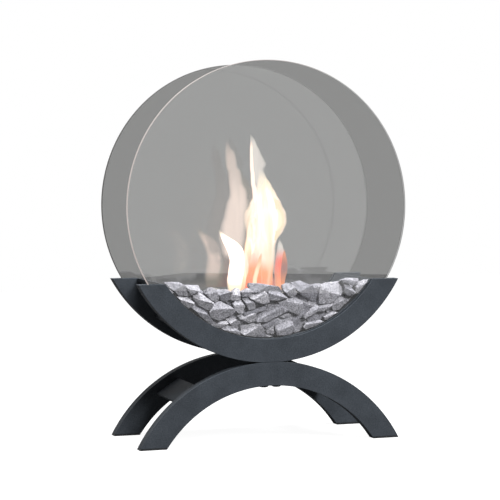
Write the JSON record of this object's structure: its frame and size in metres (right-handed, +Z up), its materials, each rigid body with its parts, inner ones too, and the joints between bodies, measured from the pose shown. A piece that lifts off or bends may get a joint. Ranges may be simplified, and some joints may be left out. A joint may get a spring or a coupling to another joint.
{
  "type": "bioethanol fireplace",
  "caption": "Free-standing tabletop bioethanol fireplace: arc bowl on arched legs, two round glass discs, burner in crushed stone.",
  "frame": {"origin": "on the floor, midway between the four feet", "axes": "+Z up, -Y the front, +X to the right seen from the front"},
  "size_m": [0.376, 0.152, 0.4935],
  "materials": {
    "coated_steel": "anthracite powder coat, fine texture",
    "glass": "clear toughened glass, ground edge",
    "silicone": "heat-proof silicone",
    "foot_plastic": "moulded insert",
    "screw_steel": "zinc plated",
    "stainless": "brushed, heat tinted round the slot",
    "ceramic_wool": "fibrous",
    "crushed_stone": "grey crushed granite chips",
    "flame": "ethanol flame"
  },
  "bodies": {
    "root": {"bowl_band_front": "coated_steel", "bowl_band_rear": "coated_steel", "stone_trough": "coated_steel", "bowl_tie_bar_left": "coated_steel", "bowl_tie_bar_right": "coated_steel", "leg_tie_bar_left": "coated_steel", "leg_tie_bar_right": "coated_steel", "leg_arch_front": "coated_steel", "leg_arch_rear": "coated_steel", "glass_seat_front": "silicone", "glass_seat_rear": "silicone", "foot_insert_front_left": "foot_plastic", "foot_insert_front_right": "foot_plastic", "foot_insert_rear_left": "foot_plastic", "foot_insert_rear_right": "foot_plastic", "clamp_screw_front_1": "screw_steel", "clamp_screw_front_2": "screw_steel", "clamp_screw_rear_1": "screw_steel", "clamp_screw_rear_2": "screw_steel", "clamp_washer_front_1": "screw_steel", "clamp_washer_front_2": "screw_steel", "clamp_washer_rear_1": "screw_steel", "clamp_washer_rear_2": "screw_steel", "burner_cradle": "coated_steel", "stones_front_1": "crushed_stone", "stones_front_2": "crushed_stone", "stones_front_3": "crushed_stone", "stones_front_4": "crushed_stone", "stones_rear_1": "crushed_stone", "stones_rear_2": "crushed_stone", "stones_rear_3": "crushed_stone", "stones_rear_4": "crushed_stone", "stones_left_1": "crushed_stone", "stones_left_2": "crushed_stone", "stones_left_3": "crushed_stone", "stones_left_4": "crushed_stone", "stones_left_5": "crushed_stone", "stones_left_6": "crushed_stone", "stones_right_1": "crushed_stone", "stones_right_2": "crushed_stone", "stones_right_3": "crushed_stone", "stones_right_4": "crushed_stone", "stones_right_5": "crushed_stone", "stones_right_6": "crushed_stone"},
    "glass_front": {"glass_disc_front": "glass"},
    "glass_rear": {"glass_disc_rear": "glass"},
    "burner": {"burner_tank": "stainless", "burner_cover": "stainless", "burner_wool": "ceramic_wool", "burner_rail_left": "stainless", "burner_rail_right": "stainless"},
    "lid": {"burner_lid": "stainless", "burner_lid_knob": "stainless"}
  },
  "joints": [
    {"name": "glass_front_lift", "type": "slide", "parent": "root", "child": "glass_front", "axis": [0, 0, 1], "range_m": [0, 0.1]},
    {"name": "glass_rear_lift", "type": "slide", "parent": "root", "child": "glass_rear", "axis": [0, 0, 1], "range_m": [0, 0.1]},
    {"name": "burner_lift", "type": "slide", "parent": "root", "child": "burner", "axis": [0, 0, 1], "range_m": [0, 0.07]},
    {"name": "lid_slide", "type": "slide", "parent": "burner", "child": "lid", "axis": [0, 1, 0], "range_m": [0, 0.0325]}
  ]
}
